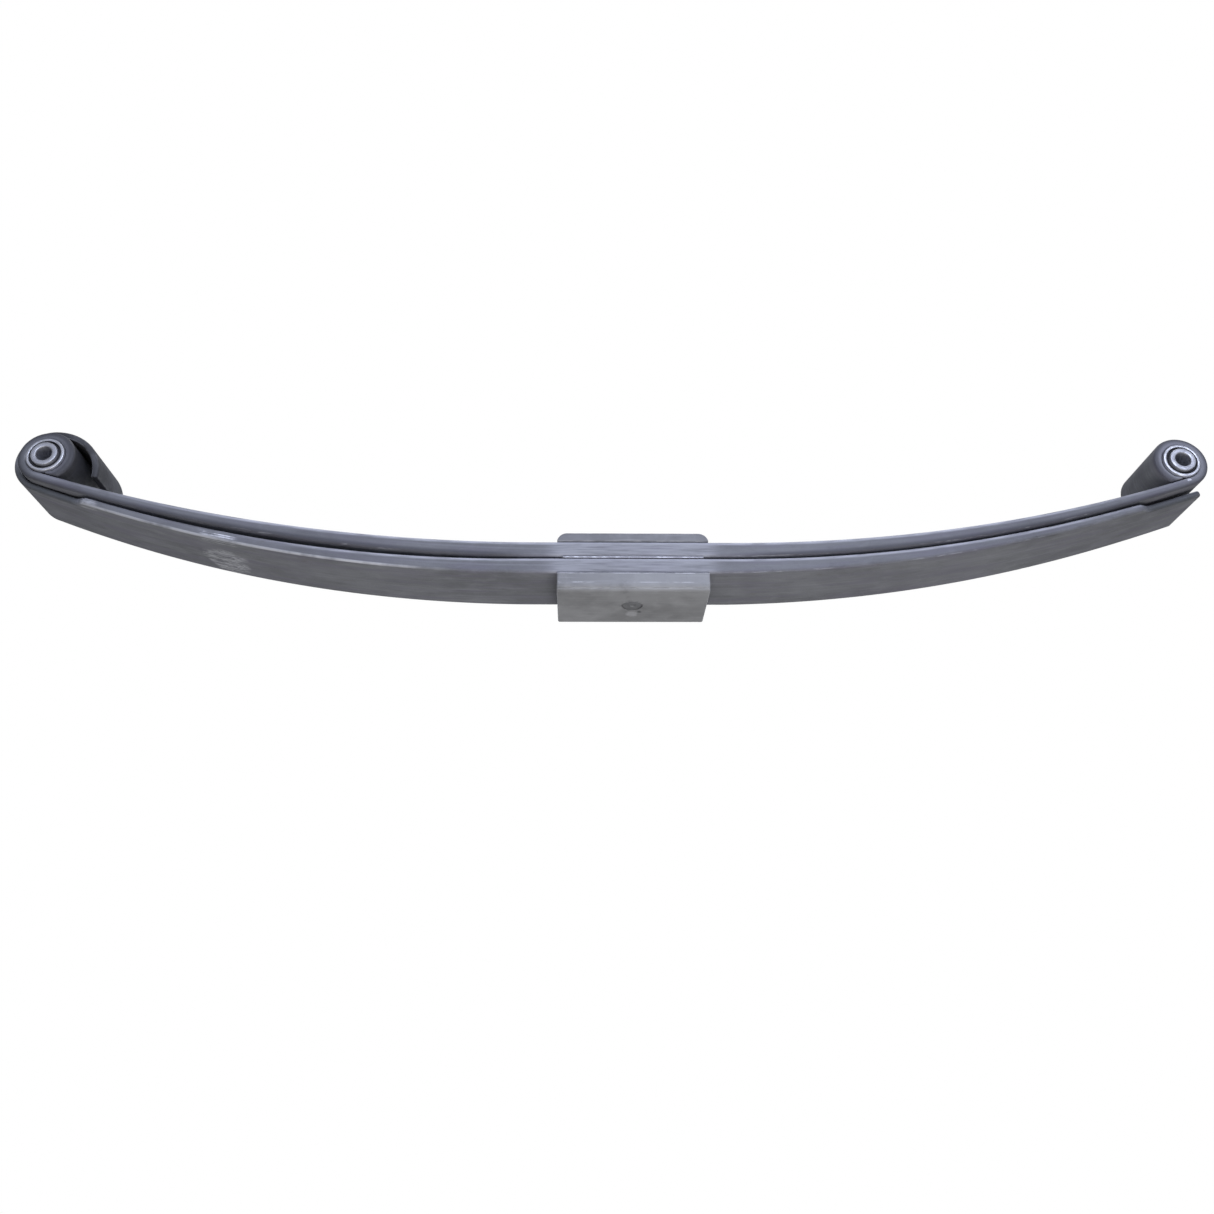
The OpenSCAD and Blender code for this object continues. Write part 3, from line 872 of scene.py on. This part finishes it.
def nut_mesh():
    """A hex nut: its outline is cut by a cone at each end, which leaves the curved chamfers."""
    flats, corner_r = nut_high[1], nut_high[0] * 0.992
    z0, z1 = nut_low[2], nut_high[2]
    chamfer_r, bevel, lead_in, segments = flats * 0.985, 0.0002, 0.0008, 144
    loops = []

    def hexagon(a):
        return min(flats / math.cos(a % (math.pi / 3) - math.pi / 6), corner_r)

    def outward(f):
        return lambda a: chamfer_r + max(hexagon(a) - chamfer_r, 0) * f

    def drop(r):
        return max(r - chamfer_r, 0) * math.tan(math.radians(30))

    def loop(radius, height):
        row = []
        for j in range(segments):
            a = 2 * math.pi * j / segments
            r = radius(a)
            row.append((r * math.cos(a), r * math.sin(a), height(r)))
        loops.append(row)

    loop(lambda a: SHANK_R, lambda r: z0)
    for f in (0, 0.5, 1):
        loop(outward(f), lambda r: z0 + drop(r))
    loop(hexagon, lambda r: z0 + drop(r) + bevel)
    loop(hexagon, lambda r: z1 - drop(r) - bevel)
    for f in (1, 0.5, 0):
        loop(outward(f), lambda r: z1 - drop(r))
    loop(lambda a: SHANK_R + lead_in, lambda r: z1)
    loop(lambda a: SHANK_R, lambda r: z1 - lead_in)
    verts = [p for row in loops for p in row]
    return make_object("centre_nut_hex", verts, ring_faces(len(loops), segments, closed=True), sharp_deg=24)


add(bolt_mesh(), BOLT_FINISH, ["centre_bolt"], "clamped_leaves")
add(washer_mesh(), BOLT_FINISH, ["centre_washer"], "clamped_leaves")
add(nut_mesh(), BOLT_FINISH, ["centre_nut"], "clamped_leaves")


# ---------------------------------------------------------------- tip pads between the leaf ends
def tip_pad_mesh(side):
    """A round pad that stands in its pocket and leans with the arm. Its upper face is recessed."""
    depth = main_t(TIP_PLACE) + leaf_gap(side, TIP_PLACE)
    x, z = arm_station(side, TIP_PLACE, depth, 0, 0)[0]
    high = leaf_gap(side, TIP_PLACE) - 0.0005
    r, edge, recess = TIP_PAD_R, 0.0004, 0.0003
    disc = [(r - 0.0005, -0.001), (r, -0.0006), (r, high - edge), (r - edge * 0.3, high - edge * 0.3),
            (r - edge, high), (0.010, high), (0.0095, high - recess), (0.002, high - recess)]
    obj = revolve(SIDE_NAME[side] + "_tip_pad_disc", disc, (0, 0, 0), "Z", 72, closed=False)
    lean = Matrix.Rotation(-side * TIP_PLACE * arc_end(side), 4, "Y")
    obj.data.transform(Matrix.Translation((x, 0, z)) @ lean)
    return obj


for side in SIDES:
    add(tip_pad_mesh(side), TIP_FINISH, [SIDE_NAME[side] + "_tip_pad"], bend=side)


# ---------------------------------------------------------------- eye bushes
def tube_profile(outer, inner, half, outer_round, inner_round):
    """A tube's closed profile, with both ends rounded inside and out."""
    end = rounded_edge(outer, half, outer_round, -1, -1) + rounded_edge(inner, half, inner_round, 1, -1)[::-1]
    return end + [(r, -h) for r, h in reversed(end)]


def rubber_profile(half):
    """The rubber ring's closed profile, with both faces hollowed between the shell and the sleeve."""
    wall, hollow = SHELL_IN_R - SLEEVE_R, 0.0011
    lip = [(SHELL_IN_R - wall * f, half - hollow * math.sin(math.pi * f) ** 0.7)
           for f in (k / 8 for k in range(8))]
    lip.append((SLEEVE_R + PRESS_GAP, half))
    return lip + [(r, -h) for r, h in reversed(lip)]


for side in SIDES:
    name = SIDE_NAME[side]
    centre = (EYE[side][0], 0, EYE[side][2])
    shell_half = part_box(name + "_bush_shell")[1][1]
    rubber_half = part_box(name + "_bush_rubber")[1][1]
    sleeve_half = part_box(name + "_bush_sleeve")[1][1]
    shell = tube_profile(EYE_R - PRESS_GAP, SHELL_IN_R, shell_half, 0.0007, 0.0004)
    sleeve = tube_profile(SLEEVE_R, SLEEVE_BORE_R, sleeve_half, 0.0007, 0.0010)
    add(revolve(name + "_bush_shell_tube", shell, centre, "Y", 128),
        SHELL_FINISH, [name + "_bush_shell"], name + "_eye")
    add(revolve(name + "_bush_rubber_ring", rubber_profile(rubber_half), centre, "Y", 128),
        RUBBER_FINISH, [name + "_bush_rubber"], name + "_eye")
    add(revolve(name + "_bush_sleeve_tube", sleeve, centre, "Y", 128),
        SLEEVE_FINISH, [name + "_bush_sleeve"], name + "_pivot")

# ---------------------------------------------------------------- stage, light and camera
scene = bpy.context.scene
FLOOR_HALF = 6.0
# the distances from the middle between which the floor fades into the background
FADE_FROM, FADE_TO = 0.45, 1.7
CAMERA_PLACE, LENS = (-0.0528, -1.0032, -0.4565), 31.73
PITCH, YAW, ROLL = math.radians(24.425), math.radians(1.537), math.radians(-0.528)


def floor_material():
    """Pale paint that fades into the white background, and is clear from behind."""
    material = bpy.data.materials.new("floor_pale")
    material.use_nodes = True
    tree = material.node_tree
    tree.nodes.clear()
    paint = tree.nodes.new("ShaderNodeBsdfDiffuse")
    paint.inputs["Color"].default_value = (0.80, 0.80, 0.80, 1)
    white = tree.nodes.new("ShaderNodeEmission")
    place = tree.nodes.new("ShaderNodeTexCoord")
    far = tree.nodes.new("ShaderNodeVectorMath")
    far.operation = "LENGTH"
    fade = tree.nodes.new("ShaderNodeMapRange")
    fade.interpolation_type = "SMOOTHSTEP"
    fade.inputs["From Min"].default_value = FADE_FROM
    fade.inputs["From Max"].default_value = FADE_TO
    spread = tree.nodes.new("ShaderNodeMixShader")
    tree.links.new(place.outputs["Object"], far.inputs[0])
    tree.links.new(far.outputs["Value"], fade.inputs["Value"])
    tree.links.new(fade.outputs[0], spread.inputs[0])
    tree.links.new(paint.outputs[0], spread.inputs[1])
    tree.links.new(white.outputs[0], spread.inputs[2])
    clear = tree.nodes.new("ShaderNodeBsdfTransparent")
    facing = tree.nodes.new("ShaderNodeNewGeometry")
    mix = tree.nodes.new("ShaderNodeMixShader")
    output = tree.nodes.new("ShaderNodeOutputMaterial")
    tree.links.new(facing.outputs["Backfacing"], mix.inputs[0])
    tree.links.new(spread.outputs[0], mix.inputs[1])
    tree.links.new(clear.outputs[0], mix.inputs[2])
    tree.links.new(mix.outputs[0], output.inputs["Surface"])
    return material


def make_floor():
    """A pale floor under the pad. It has one side only, because the main camera looks up from below it."""
    mesh = bpy.data.meshes.new("floor")
    z = cad_low[2] - 0.0005
    corners = [(x * FLOOR_HALF, y * FLOOR_HALF, z) for x, y in ((-1, -1), (1, -1), (1, 1), (-1, 1))]
    mesh.from_pydata(corners, [], [(0, 1, 2, 3)])
    floor = bpy.data.objects.new("floor", mesh)
    scene.collection.objects.link(floor)
    mesh.materials.append(floor_material())
    floor.visible_shadow = floor.visible_diffuse = floor.visible_glossy = False


def make_world():
    """A plain white background for the camera, and a weak bluish light for everything else."""
    world = bpy.data.worlds.new("studio")
    scene.world = world
    world.use_nodes = True
    tree = world.node_tree
    tree.nodes.clear()
    seen = tree.nodes.new("ShaderNodeBackground")
    seen.inputs["Color"].default_value = (1, 1, 1, 1)
    seen.inputs["Strength"].default_value = 1.0
    sky = tree.nodes.new("ShaderNodeBackground")
    sky.inputs["Color"].default_value = (0.92, 0.95, 1.0, 1)
    sky.inputs["Strength"].default_value = 0.22
    path = tree.nodes.new("ShaderNodeLightPath")
    mix = tree.nodes.new("ShaderNodeMixShader")
    output = tree.nodes.new("ShaderNodeOutputWorld")
    tree.links.new(path.outputs["Is Camera Ray"], mix.inputs[0])
    tree.links.new(sky.outputs[0], mix.inputs[1])
    tree.links.new(seen.outputs[0], mix.inputs[2])
    tree.links.new(mix.outputs[0], output.inputs["Surface"])


def area_light(name, place, size, power, colour):
    """A soft panel that faces the middle of the spring."""
    data = bpy.data.lights.new(name, "AREA")
    data.shape = "RECTANGLE"
    data.size, data.size_y = size
    data.energy, data.color = power, colour
    light = bpy.data.objects.new(name, data)
    light.location = place
    aim = Vector((0, 0, 0.08)) - Vector(place)
    light.rotation_euler = aim.to_track_quat("-Z", "Y").to_euler()
    scene.collection.objects.link(light)


def make_camera():
    """The photo's camera, placed by its position, its three angles and its lens."""
    camera = bpy.data.objects.new("camera", bpy.data.cameras.new("camera"))
    camera.data.sensor_width = 36.0
    camera.data.lens = LENS
    camera.data.clip_start, camera.data.clip_end = 0.05, 50
    ahead = Vector((math.sin(YAW) * math.cos(PITCH), math.cos(YAW) * math.cos(PITCH), math.sin(PITCH)))
    level = Vector((math.cos(YAW), -math.sin(YAW), 0))
    upright = level.cross(ahead)
    right = level * math.cos(ROLL) + upright * math.sin(ROLL)
    up = upright * math.cos(ROLL) - level * math.sin(ROLL)
    turn = Matrix((right, up, -ahead)).transposed().to_4x4()
    camera.matrix_world = Matrix.Translation(CAMERA_PLACE) @ turn
    scene.collection.objects.link(camera)
    scene.camera = camera


make_floor()
make_world()
area_light("key", (0.3, -2.4, 0.8), (3.0, 1.6), 66, (0.75, 0.81, 1.0))
area_light("fill_low", (0.3, -0.9, -2.3), (3.0, 1.6), 40, (1.0, 0.985, 0.96))
area_light("top", (0.2, 0.5, 2.6), (3.0, 1.8), 26, (0.97, 0.98, 1.0))
area_light("back", (0.2, 2.5, 0.5), (3.0, 1.2), 34, (0.90, 0.93, 1.0))
make_camera()

scene.view_settings.view_transform = "Standard"
scene.view_settings.look = "None"
